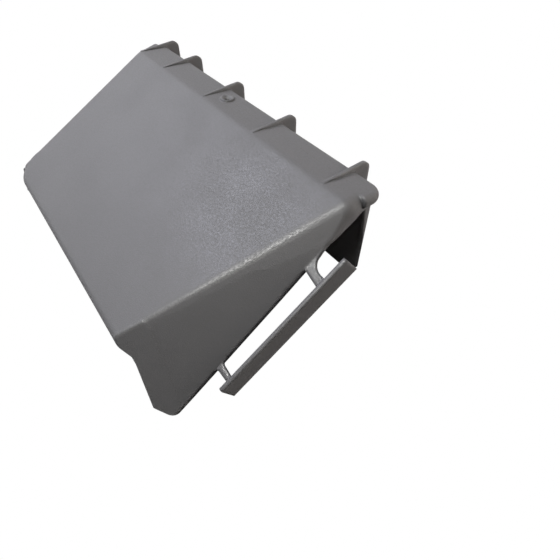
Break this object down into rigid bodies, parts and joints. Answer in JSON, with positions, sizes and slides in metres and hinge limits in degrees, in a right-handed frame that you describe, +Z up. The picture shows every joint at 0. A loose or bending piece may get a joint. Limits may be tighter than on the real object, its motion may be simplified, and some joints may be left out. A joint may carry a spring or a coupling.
{
  "type": "car_storage_compartment",
  "caption": "Moulded plastic storage compartment for a car: an open wedge-shaped shell with a sloping face, guide ribs, a screw eye and a clip rail along its open side.",
  "frame": {"origin": "middle of the bounding box seen from above, at the height of the rim that the shell stands on", "axes": "+X along the width, away from the clip rail; +Y from the guide ribs to the back wall, down the sloping face; +Z up, from the rim to the fold"},
  "size_m": [0.3658, 0.2072, 0.0728],
  "materials": {
    "mould_grey": "fine_grain"
  },
  "bodies": {
    "root": {"shell": "mould_grey"}
  },
  "joints": []
}
